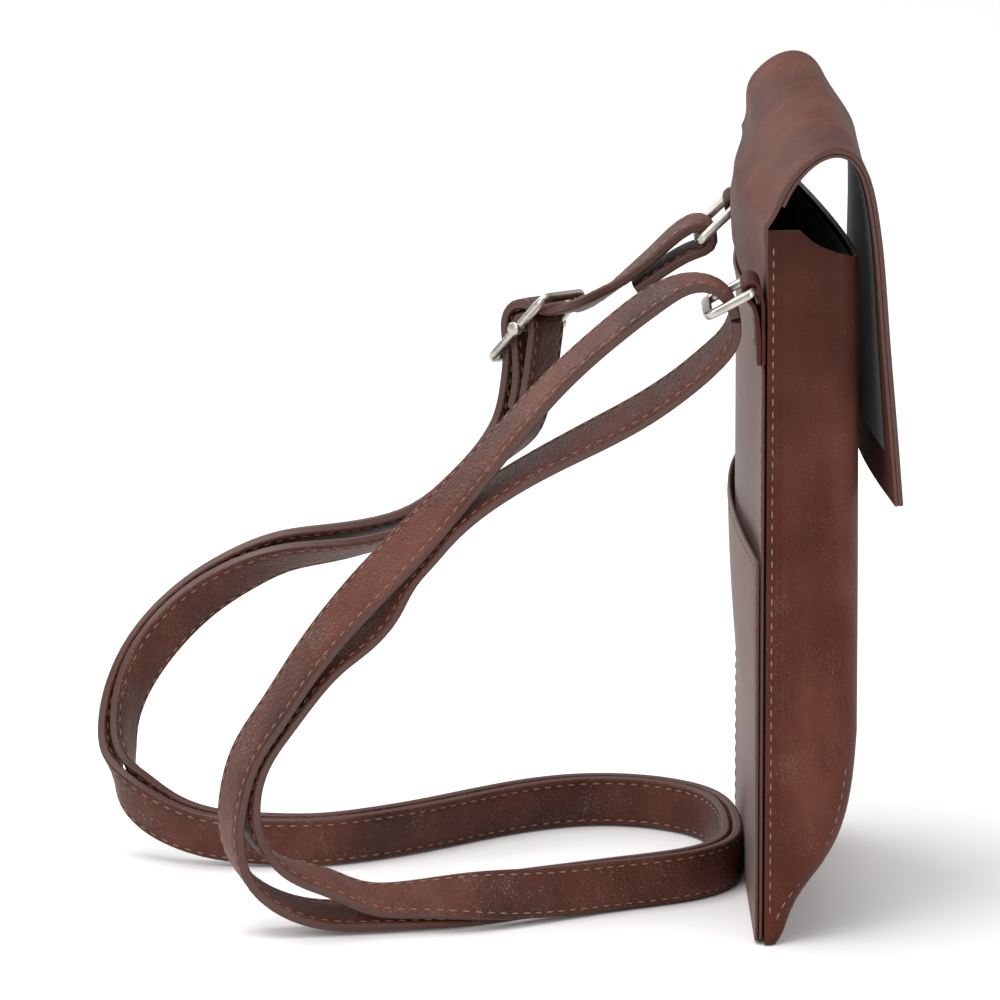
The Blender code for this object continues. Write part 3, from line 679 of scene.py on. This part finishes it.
def strap_run(name, route, node):
    sizes = bpy.context.scene.purse_sizes
    read = smooth_through(route, 1.6)
    _, across, outward = frames(read)
    section = strap_section(sizes.strap_width / MM, STRAP_THICK)
    rows = []
    for point, side, out in zip(read[:, :3], across, outward):
        rows.append([point + side * u + out * v for u, v, _ in section])
    bm = rolled(rows)
    uv = bm.loops.layers.uv.active
    edge_columns = [i for i, (_, _, is_edge) in enumerate(section) if is_edge]
    low, high = min(edge_columns), max(i for i in edge_columns if i < len(section) // 2)
    for face in bm.faces:
        columns = [round(loop[uv].uv[0] * len(section)) % (len(section) // 2) for loop in face.loops]
        if len(face.verts) > 4 or sum(low - 1 <= c <= high + 1 for c in columns) >= 3 and max(columns) > low:
            face.material_index = 1
    piece = to_piece(name, bm, "strap leather", "leather edge", smooth=60.0)
    finish_piece(piece, "body", "strap_leather", node)
    path = read[:, :3] * MM
    length = float(np.linalg.norm(np.diff(path, axis=0), axis=1).sum())
    sew_in = sizes.strap_width / MM / 2.0 - 1.35
    face_at = STRAP_THICK / 2.0 - 0.12
    seams = []
    for u in (-sew_in, sew_in):
        for v in (-1.0, 1.0):
            line = read[:, :3] + across * u + outward * v * face_at
            seams.append((line, outward * v))
    thread_piece(name + "_stitches", seams, "body", "strap_leather", pitch=3.1, length=2.0, width=0.44)
    return piece, path, length


class PURSE_OT_strap(bpy.types.Operator):
    """Model the strap's two runs with their rows of stitches"""

    bl_idname = "purse.strap"
    bl_label = "Strap"

    def execute(self, context):
        run, path, length = strap_run("strap_through", through_route(), "strap_through_run")
        run, path, length = strap_run("strap_return", return_route(), "strap_return_run")
        return {"FINISHED"}


# ---------------------------------------------------------------- body


def flap_line(offset):
    """The flap's side outline, moved towards its inside by an offset."""
    line = smooth_through([(y, z, 0.0) for y, z in FLAP_PROFILE], 1.5)[:, :2]
    along = unit(np.gradient(line, axis=0))
    inward = np.stack([-along[:, 1], along[:, 0]], axis=1)
    return line + inward * offset


def flap_columns():
    return spread(HALF_WIDTH, 41)


class PURSE_OT_back_and_flap(bpy.types.Operator):
    """Model the leather that runs up the back, over the top and down as the flap"""

    bl_idname = "purse.back_and_flap"
    bl_label = "Back and Flap"

    def execute(self, context):
        rise = [(BACK_FACE, z) for z in (0.0, 0.8, 1.8, 3.0)]
        rise += [(BACK_FACE, z) for z in np.linspace(10.0, 150.0, 22)]
        rise += [(0.45, 158.0), (0.75, 164.0), (1.05, 168.6), (1.22, 171.4)]
        rows = []
        for y, z in rise:
            inset = corner_inset(z) + 1.7 * (1.0 - smoothstep(150.0, 172.0, z))
            rows.append([(x * (1.0 - inset / HALF_WIDTH), y + back_bow(x, z), z) for x in flap_columns()])
        for y, z in flap_line(0.0):
            rows.append([flap_place(x, y, z) for x in flap_columns()])
        piece = panel("back_and_flap", rows, 1.15, "flap leather", (0.0, 1.0, 0.0))
        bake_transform(piece)
        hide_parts("back_panel", "flap_leather")
        return {"FINISHED"}


class PURSE_OT_flap_lining(bpy.types.Operator):
    """Model the flap's inner layer: a leather margin round a dark lining"""

    bl_idname = "purse.flap_lining"
    bl_label = "Flap Lining"

    def execute(self, context):
        line = flap_line(MARGIN_DEPTH)[4:]
        rows = [[flap_place(x, y, z) for x in flap_columns()] for y, z in line]
        margin = panel("flap_margin", rows, MARGIN_THICK, "border leather", (0.0, 1.0, 0.2), 0.2)
        finish_piece(margin, "flap", "flap_lining_leather", "flap_lining")
        inner = flap_line(MARGIN_DEPTH + MARGIN_THICK + 0.06)[6:-8]
        rows = [[flap_place(x, y, z) for x in spread(HALF_WIDTH - 7.0, 25)] for y, z in inner]
        lining = panel("flap_cloth", rows, 0.3, "dark lining", (0.0, 1.0, 0.2), 0.1)
        lining.data.materials[1] = finish_of("dark lining")
        finish_piece(lining, "flap", "flap_lining_leather")
        return {"FINISHED"}


def front_level(y_front, inset, back_y, fold_radius):
    """One level of the moulded front, from one back edge round both folds to the other: (x, y)."""
    half = HALF_WIDTH - inset
    front = y_front + inset
    radius = max(min(fold_radius, -0.7 * y_front) - inset, 0.2)
    corner_y = front + radius
    margin = [0.0, 0.7, 1.3, 2.0, 2.8, 3.3, 3.8, 4.6]
    reach = back_y - corner_y
    side = []
    for depth in margin:
        share = min(depth / 4.6, 1.0) * min(4.6, reach * 0.9)
        crease = 0.28 if abs(depth - 3.3) < 0.1 and reach > 5.5 else 0.0
        side.append((-half + crease, back_y - share))
    start = side[-1][1]
    side += [(-half, start + (corner_y - start) * t) for t in (0.3, 0.6, 0.85)]
    fold = []
    for i in range(0, 11):
        angle = math.pi / 2.0 * i / 11
        fold.append((-half + radius * (1 - math.cos(angle)), front + radius * (1 - math.sin(angle))))
    across = [(x, front) for x in spread(half - radius, 23)]
    left = side + fold + across[:11]
    return left + [across[11]] + [(-x, y) for x, y in reversed(left)]


def gusset_top(y):
    """The side's top edge steps down from the back to the front."""
    if y > -8.0:
        return 172.4
    if y > -10.6:
        return 172.4 + (y + 8.0) / 2.6 * 3.4
    return 169.0 + (y + 10.6) / (FRONT_DEPTH - 10.6) * (169.0 - FRONT_TOP)


def front_rows(inset, back_y, fold_radius, lowest=0.0, drop=0.0):
    profile = smooth_through([(z, y, 0.0) for z, y in FRONT_PROFILE], 2.2)[:, :2]
    levels = [(z, y) for z, y in profile if z >= lowest]
    levels += [(z, -FRONT_DEPTH) for z in np.linspace(56.0, 150.0, 20)]
    rows = []
    for z, y_front in levels:
        row = front_level(y_front, inset, back_y, fold_radius)
        rows.append([(x, drawn_in(x, y, z), z) for x, y in row])
    for share in (0.3, 0.6, 0.85, 1.0):
        row = front_level(-FRONT_DEPTH, inset, back_y, fold_radius)
        raised = [(x, y, 150.0 + (gusset_top(y) - drop - 150.0) * share) for x, y in row]
        rows.append([(x, drawn_in(x, y, z), z) for x, y, z in raised])
    return rows


def fold_seam(side, contour, fold_radius):
    """A seam a little inside the front's contour, where each side rolls over into the front."""
    line, normals = [], []
    for z, y_front in contour:
        inside = 2.3 + 0.6 * smoothstep(20.0, 5.0, z)
        radius = max(min(fold_radius, -0.7 * y_front), 0.2)
        sine = max(1.0 - inside / radius, 0.0)
        cosine = math.sqrt(1.0 - sine**2)
        line.append((side * (HALF_WIDTH - radius * (1.0 - cosine)), y_front + inside, z + 0.6))
        normals.append((side * cosine, -sine, 0.0))
    return line, normals


class PURSE_OT_front(bpy.types.Operator):
    """Model the moulded front with its sides, and its lining"""

    bl_idname = "purse.front"
    bl_label = "Front"

    def execute(self, context):
        radius = context.scene.purse_sizes.fold_radius / MM
        rows = front_rows(0.0, BACK_FACE - 0.1, radius)
        shell = panel("front_shell_leather", rows, 1.25, "body leather", (-1, 0, 0))
        finish_piece(shell, "body", "body_leather", "front_shell")
        rows = front_rows(1.55, -2.0, radius, 14.0, 2.0)
        lining = panel("front_lining_cloth", rows, 0.35, "dark lining", (-1, 0, 0), 0.1)
        lining.data.materials[1] = finish_of("dark lining")
        finish_piece(lining, "body", "lining_cloth", "front_lining")
        seams = []
        for side in (-1.0, 1.0):
            x = side * (HALF_WIDTH - 0.02)
            heights = np.linspace(5.0, 171.0, 60)
            seams.append(([(x, BACK_FACE - 1.4, z) for z in heights], [(side, 0, 0)] * 60))
            contour = smooth_through([(z, y, 0.0) for z, y in FRONT_PROFILE], 1.5)
            contour = [(z, y) for z, y, _ in contour if 3.0 < z < 44.0]
            seams.append(fold_seam(side, contour, radius))
        across = spread(HALF_WIDTH - 8.5, 40)
        z = FRONT_TOP - 3.2
        seams.append(([(x, -FRONT_DEPTH + front_bow(x, z), z) for x in across], [(0, -1, 0)] * 40))
        thread_piece("front_stitches", seams, "body", "body_leather", pitch=3.0, length=1.9, width=0.4)
        return {"FINISHED"}


class PURSE_OT_back_layers(bpy.types.Operator):
    """Model the backing panel, the slip pocket and the inside of the back"""

    bl_idname = "purse.back_layers"
    bl_label = "Back Layers"

    def execute(self, context):
        y = BACK_FACE + LAYER + BACKING_THICK
        rows = []
        heights = [0.0, 0.8, 1.8, 3.0, *np.linspace(10.0, 136.0, 22), *np.linspace(139.0, BACKING_TOP, 7)]
        for z in heights:
            half = BACK_HALF_WIDTH - corner_inset(z)
            rows.append([(x, y + back_bow(x, z) + tab_swell(x, z), z) for x in spread(half, 41)])
        backing = panel("backing_leather_panel", rows, 0.85, "back leather", (0, 1, 0))
        finish_piece(backing, "body", "backing_leather", "backing_panel")
        y_pocket = BACK_FACE + 2.0 * LAYER + BACKING_THICK + POCKET_THICK
        rows = []
        for z in [0.0, 0.8, 1.8, 3.0] + list(np.linspace(8.0, POCKET_TOP, 24)):
            half = BACK_HALF_WIDTH - corner_inset(z)
            rows.append([(x, y_pocket + pocket_bow(x, z), z + edge_rise(x, z)) for x in spread(half, 29)])
        pocket = panel("pocket_leather_panel", rows, 0.68, "back leather", (0, 1, 0))
        finish_piece(pocket, "body", "pocket_leather", "pocket_panel")
        rows = []
        for z in np.linspace(14.0, 169.0, 24):
            rows.append([(x, BACK_FACE - 1.3 + back_bow(x, z), z) for x in spread(51.0, 21)])
        lining = panel("back_lining_cloth", rows, 0.35, "dark lining", (0, 1, 0), 0.1)
        lining.data.materials[1] = finish_of("dark lining")
        finish_piece(lining, "body", "lining_cloth", "back_lining")
        seams = []
        z = POCKET_TOP - 2.4
        across = spread(BACK_HALF_WIDTH - 2.0, 50)
        line = [(x, y_pocket + pocket_bow(x, z), z + edge_rise(x, z)) for x in across]
        seams.append((line, [(0, 1, 0)] * 50))
        for side in (-1.0, 1.0):
            x = side * (BACK_HALF_WIDTH - 1.7)
            line = [(x, y_pocket + pocket_bow(x, z), z) for z in np.linspace(4.0, POCKET_TOP - 3.0, 40)]
            seams.append((line, [(0, 1, 0)] * 40))
            line = [(x, y + back_bow(x, z), z) for z in np.linspace(POCKET_TOP + 2.0, 138.5, 30)]
            seams.append((line, [(0, 1, 0)] * 30))
        line = [(x, y_pocket, 1.9) for x in spread(BACK_HALF_WIDTH - 3.5, 30)]
        seams.append((line, [(0, 1, 0)] * 30))
        thread_piece("back_stitches", seams, "body", "pocket_leather", pitch=3.0, length=1.9, width=0.4)
        return {"FINISHED"}


def tab_swell(x, z):
    """The backing lifts over the sewn ends of the tabs."""
    return TAB_SWELL * smoothstep(40.5, 43.0, abs(x)) * smoothstep(138.0, 146.0, z)


def pocket_bow(x, z):
    return POCKET_BOW * (1.0 - (x / BACK_HALF_WIDTH) ** 2) * smoothstep(18.0, POCKET_TOP, z)


def edge_rise(x, z):
    """The pocket's top edge stands a little higher in the middle."""
    return 2.5 * (1.0 - (x / BACK_HALF_WIDTH) ** 2) * smoothstep(60.0, POCKET_TOP, z)


# ---------------------------------------------------------------- tabs and metal


def leather_loop(name, x, bar, width=12.2, thick=0.95):
    """A strip that comes up the back, turns round the ring's bar and goes down again."""
    y_bar, z_bar = bar
    inner = RING_WIRE + 0.35
    turn = inner + thick / 2.0
    seat = BACK_FACE + 0.3 + thick / 2.0
    path = [(seat, 140.3), (seat, 146.0), (seat + 0.1, z_bar - 6.4), (seat + 0.2, z_bar - 3.2)]
    for degrees in (178.0, 150.0, 120.0, 90.0, 60.0, 30.0, 0.0, -28.0):
        angle = math.radians(degrees)
        path.append((y_bar + turn * math.cos(angle), z_bar + turn * math.sin(angle)))
    path += [(seat + 2.35, z_bar - 3.8), (seat + 1.5, z_bar - 6.8), (seat + thick + 0.08, 146.0)]
    path += [(seat + thick + 0.08, 140.3)]
    line = smooth_through([(y, z, 0.0) for y, z in path], 0.7)[:, :2]
    along = unit(np.gradient(line, axis=0))
    outward = np.stack([-along[:, 1], along[:, 0]], axis=1)
    half, high = width / 2.0, thick / 2.0
    section = [(-half + 0.25, high), (0.0, high), (half - 0.25, high)]
    section += [(half, high - 0.25), (half, -high + 0.25)]
    section = section + [(-u, -v) for u, v in section]
    rows = [[(x + u, p[0] + o[0] * v, p[1] + o[1] * v) for u, v in section] for p, o in zip(line, outward)]
    bm = rolled(rows)
    return to_piece(name, bm, "body leather", smooth=50.0)


class PURSE_OT_tabs(bpy.types.Operator):
    """Model the two leather tabs that hold the rings"""

    bl_idname = "purse.tabs"
    bl_label = "Tabs"

    def execute(self, context):
        seams = []
        for name, x, bar in (("near_tab", -RING_X, NEAR_BAR), ("far_tab", RING_X, FAR_BAR)):
            piece = leather_loop(name + "_leather", x, bar)
            finish_piece(piece, "body", "tab_leather", name)
            y = BACK_FACE + LAYER + BACKING_THICK + TAB_SWELL
            for z in (BACKING_TOP - 2.2, BACKING_TOP - 7.5):
                seams.append(([(x - 5.0, y, z), (x + 5.0, y, z)], [(0, 1, 0)] * 2))
            for edge in (-5.0, 5.0):
                ends = [(x + edge, y, BACKING_TOP - 8.0), (x + edge, y, BACKING_TOP - 1.6)]
                seams.append((ends, [(0, 1, 0)] * 2))
        thread_piece("tab_stitches", seams, "body", "tab_leather", pitch=2.6, length=1.8, width=0.4)
        return {"FINISHED"}


def rounded_outline(corners, bend, steps=8):
    """Points along a closed outline whose corners are rounded."""
    corners = [Vector(corner) for corner in corners]
    path = []
    for i, corner in enumerate(corners):
        before = corner + (corners[i - 1] - corner).normalized() * bend
        after = corner + (corners[(i + 1) % len(corners)] - corner).normalized() * bend
        for k in range(steps + 1):
            t = k / steps
            path.append(before * (1 - t) ** 2 + corner * 2 * t * (1 - t) + after * t**2)
    return path


def wire_frame(name, corners, wide, high, bend=2.2, sides=20):
    """A wire of soft-cornered section bent into a closed outline."""
    path = rounded_outline(corners, bend)
    first, second, third = (Vector(corner) for corner in corners[:3])
    flat = (second - first).cross(third - second).normalized()
    rows = []
    for i, point in enumerate(path):
        ahead = (path[(i + 1) % len(path)] - path[i - 1]).normalized()
        aside = ahead.cross(flat).normalized()
        row = []
        for k in range(sides):
            angle = 2.0 * math.pi * k / sides
            c, s = math.cos(angle), math.sin(angle)
            u = wide * math.copysign(abs(c) ** 0.62, c)
            v = high * math.copysign(abs(s) ** 0.62, s)
            row.append(point + aside * u + flat * v)
        rows.append(row)
    return to_piece(name, rolled(rows, closed=True), "nickel", smooth=60.0)


def round_bar(name, start, end, radius, sides=20):
    """A round bar with soft ends."""
    start, end = Vector(start), Vector(end)
    along = (end - start).normalized()
    side = along.orthogonal().normalized()
    other = along.cross(side)
    rows = []
    for back, scale in ((0.0, 0.8), (0.15, 0.95), (0.4, 1.0)):
        rows.append((start + along * back, radius * scale))
    for back, scale in ((0.4, 1.0), (0.15, 0.95), (0.0, 0.8)):
        rows.append((end - along * back, radius * scale))
    sections = []
    for centre, reach in rows:
        section = []
        for k in range(sides):
            angle = 2.0 * math.pi * k / sides
            section.append(centre + (side * math.cos(angle) + other * math.sin(angle)) * reach)
        sections.append(section)
    return to_piece(name, rolled(sections), "nickel", smooth=50.0)


class PURSE_OT_rings(bpy.types.Operator):
    """Model the two rectangular rings"""

    bl_idname = "purse.rings"
    bl_label = "Rings"

    def execute(self, context):
        for name, x, (y, z), slope in (
            ("near_ring", -RING_X, NEAR_BAR, NEAR_SLOPE),
            ("far_ring", RING_X, FAR_BAR, FAR_SLOPE),
        ):
            angle = math.radians(slope)
            reach = Vector((0.0, math.cos(angle), -math.sin(angle))) * RING_REACH
            bar = Vector((x, y, z))
            side = Vector((RING_HALF, 0.0, 0.0))
            corners = [bar - side, bar + side, bar + side + reach, bar - side + reach]
            piece = wire_frame(name + "_nickel", corners, 1.12, 1.05)
            finish_piece(piece, name, "ring_metal", name)
        return {"FINISHED"}


class PURSE_OT_slide(bpy.types.Operator):
    """Model the slide adjuster: a flat frame with a riveted middle bar"""

    bl_idname = "purse.slide"
    bl_label = "Slide Adjuster"

    def execute(self, context):
        centre = Vector(SLIDE_CENTRE)
        across = Vector(SLIDE_ACROSS).normalized()
        along = Vector(SLIDE_ALONG)
        along = (along - across * along.dot(across)).normalized()
        side = across * SLIDE_HALF
        end = along * SLIDE_REACH
        corners = [centre - side - end, centre + side - end, centre + side + end, centre - side + end]
        rim = wire_frame("slide_nickel_frame", corners, 1.25, 0.95, 2.4)
        finish_piece(rim, "body", "slide_metal", "slide_frame")
        bar = round_bar("slide_nickel_bar", centre - side * 0.94, centre + side * 0.94, 1.0)
        finish_piece(bar, "body", "slide_metal", "slide_bar")
        for index, way in enumerate((-1.0, 1.0)):
            at = centre + side * way
            knob = round_bar("slide_rivet_%d" % (index + 1), at, at + across * way * 2.0, 1.7)
            finish_piece(knob, "body", "slide_metal")
        return {"FINISHED"}


class PURSE_OT_snap(bpy.types.Operator):
    """Give the hidden snap its nickel finish"""

    bl_idname = "purse.snap"
    bl_label = "Snap"

    def execute(self, context):
        for name in ("snap_socket", "snap_washer", "snap_stud"):
            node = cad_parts[name]
            node.data.materials.clear()
            node.data.materials.append(finish_of("nickel"))
        return {"FINISHED"}


# ---------------------------------------------------------------- stage


def soft_light(name, place, target, size, power):
    light = bpy.data.lights.new(name, "AREA")
    light.shape = "RECTANGLE"
    light.size, light.size_y = size
    light.energy = power
    holder = bpy.data.objects.new(name, light)
    holder.location = place
    holder.rotation_euler = (Vector(target) - Vector(place)).to_track_quat("-Z", "Y").to_euler()
    bpy.context.scene.collection.objects.link(holder)


class PURSE_OT_stage(bpy.types.Operator):
    """Set the camera, the pale floor and soft studio light"""

    bl_idname = "purse.stage"
    bl_label = "Stage"

    def execute(self, context):
        azimuth, elevation = math.radians(CAMERA_AZIMUTH), math.radians(CAMERA_ELEVATION)
        level = math.cos(elevation)
        back = Vector((math.sin(azimuth) * level, -math.cos(azimuth) * level, math.sin(elevation)))
        lens = bpy.data.cameras.new("camera")
        lens.sensor_width = 36.0
        lens.lens = CAMERA_LENS
        lens.clip_start, lens.clip_end = 0.1, 50.0
        camera = bpy.data.objects.new("camera", lens)
        camera.location = Vector(CAMERA_AIM) + back * CAMERA_DISTANCE
        camera.rotation_mode = "QUATERNION"
        camera.rotation_quaternion = (-back).to_track_quat("-Z", "Y")
        context.scene.collection.objects.link(camera)
        context.scene.camera = camera
        bm = bmesh.new()
        bmesh.ops.create_grid(bm, x_segments=1, y_segments=1, size=30.0)
        mesh = bpy.data.meshes.new("floor")
        bm.to_mesh(mesh)
        bm.free()
        floor = bpy.data.objects.new("floor", mesh)
        floor.location = (0.0, 0.0, -0.0003)
        pale = Finish("pale floor")
        pale.set(Base_Color=(0.92, 0.92, 0.92, 1.0), Roughness=0.9, Specular_IOR_Level=0.1)
        mesh.materials.append(pale.material)
        context.scene.collection.objects.link(floor)
        world = bpy.data.worlds.new("studio")
        world.use_nodes = True
        world.node_tree.nodes["Background"].inputs["Color"].default_value = (1.0, 1.0, 1.0, 1.0)
        world.node_tree.nodes["Background"].inputs["Strength"].default_value = 0.62
        context.scene.world = world
        context.scene.view_settings.view_transform = "Standard"
        target = (0.0, 0.04, 0.09)
        soft_light("top", (-0.1, 0.3, 1.3), target, (1.0, 1.0), 13.0)
        soft_light("near", (-1.0, 0.9, 0.7), target, (0.7, 0.9), 5.5)
        soft_light("front", (-0.7, -1.1, 0.5), target, (0.5, 1.0), 4.0)
        soft_light("far", (0.9, 0.9, 0.8), target, (0.8, 0.8), 6.0)
        return {"FINISHED"}


# ---------------------------------------------------------------- add-on


class PurseSizes(bpy.types.PropertyGroup):
    strap_width: FloatProperty(name="Strap Width", description="Width of the strap", default=0.012,
                               unit="LENGTH")
    fold_radius: FloatProperty(name="Fold Radius", description="Radius of the front's vertical folds",
                               default=0.008, unit="LENGTH")


class PurseFinishes(bpy.types.PropertyGroup):
    leather: FloatVectorProperty(name="Leather", description="Main leather colour", subtype="COLOR",
                                 default=(0.080, 0.0190, 0.0105))
    deep: FloatVectorProperty(name="Deep", description="Darker rubbed patches", subtype="COLOR",
                              default=(0.026, 0.0070, 0.0050))
    worn: FloatVectorProperty(name="Worn", description="Paler pulled-up leather", subtype="COLOR",
                              default=(0.150, 0.050, 0.033))
    dust: FloatVectorProperty(name="Dust", description="Pale flecks of dry wax", subtype="COLOR",
                              default=(0.42, 0.30, 0.25))
    edge: FloatVectorProperty(name="Edge", description="Burnished cut edge", subtype="COLOR",
                              default=(0.080, 0.026, 0.017))
    lining: FloatVectorProperty(name="Lining", description="Dark woven lining", subtype="COLOR",
                                default=(0.0085, 0.0105, 0.0095))
    nickel: FloatVectorProperty(name="Nickel", description="Nickel of rings and slide", subtype="COLOR",
                                default=(0.62, 0.59, 0.54))
    thread: FloatVectorProperty(name="Thread", description="Waxed sewing thread", subtype="COLOR",
                                default=(0.30, 0.17, 0.115))


OPERATORS = (
    PURSE_OT_stage,
    PURSE_OT_strap,
    PURSE_OT_back_and_flap,
    PURSE_OT_flap_lining,
    PURSE_OT_front,
    PURSE_OT_back_layers,
    PURSE_OT_tabs,
    PURSE_OT_rings,
    PURSE_OT_slide,
    PURSE_OT_snap,
)


class PURSE_PT_panel(bpy.types.Panel):
    """Lists the purse's pieces in the order they are made"""

    bl_label = "Crossbody Purse"
    bl_idname = "PURSE_PT_panel"
    bl_space_type = "VIEW_3D"
    bl_region_type = "UI"
    bl_category = "Purse"

    def draw(self, context):
        layout = self.layout
        for group in (context.scene.purse_sizes, context.scene.purse_finishes):
            for name in group.bl_rna.properties.keys():
                if name not in ("rna_type", "name"):
                    layout.prop(group, name)
        for operator in OPERATORS:
            layout.operator(operator.bl_idname)


CLASSES = (PurseSizes, PurseFinishes, *OPERATORS, PURSE_PT_panel)


def register():
    for item in CLASSES:
        bpy.utils.register_class(item)
    bpy.types.Scene.purse_sizes = PointerProperty(type=PurseSizes)
    bpy.types.Scene.purse_finishes = PointerProperty(type=PurseFinishes)


def unregister():
    del bpy.types.Scene.purse_finishes
    del bpy.types.Scene.purse_sizes
    for item in reversed(CLASSES):
        bpy.utils.unregister_class(item)


def main():
    register()
    for operator in OPERATORS:
        group, name = operator.bl_idname.split(".")
        getattr(getattr(bpy.ops, group), name)()


if __name__ == "__main__":
    main()
